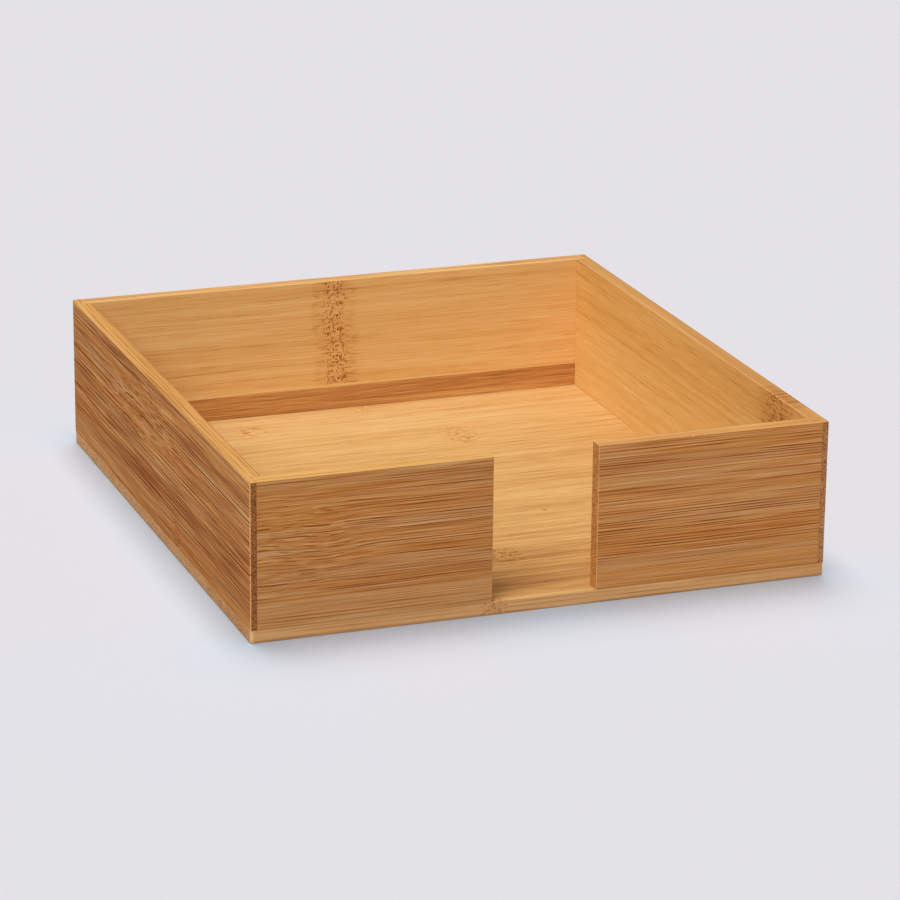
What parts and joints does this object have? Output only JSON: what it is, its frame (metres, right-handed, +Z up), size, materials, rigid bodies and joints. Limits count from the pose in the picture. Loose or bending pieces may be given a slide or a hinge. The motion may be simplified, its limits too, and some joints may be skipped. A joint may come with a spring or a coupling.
{
  "type": "napkin tray",
  "caption": "Open bamboo tray that keeps a stack of folded paper napkins square, with a finger notch in the front wall.",
  "frame": {"origin": "middle of the footprint, on the surface that the tray stands on", "axes": "+X to the right and +Z up, seen from the front; +Y from the notched front towards the back"},
  "size_m": [0.185, 0.2, 0.05],
  "materials": {
    "bamboo_base": "satin",
    "bamboo_side": "satin",
    "bamboo_back": "satin",
    "bamboo_front": "satin"
  },
  "bodies": {
    "root": {"base_panel": "bamboo_base", "left_side": "bamboo_side", "right_side": "bamboo_side", "back_panel": "bamboo_back", "front_left_panel": "bamboo_front", "front_right_panel": "bamboo_front"}
  },
  "joints": []
}
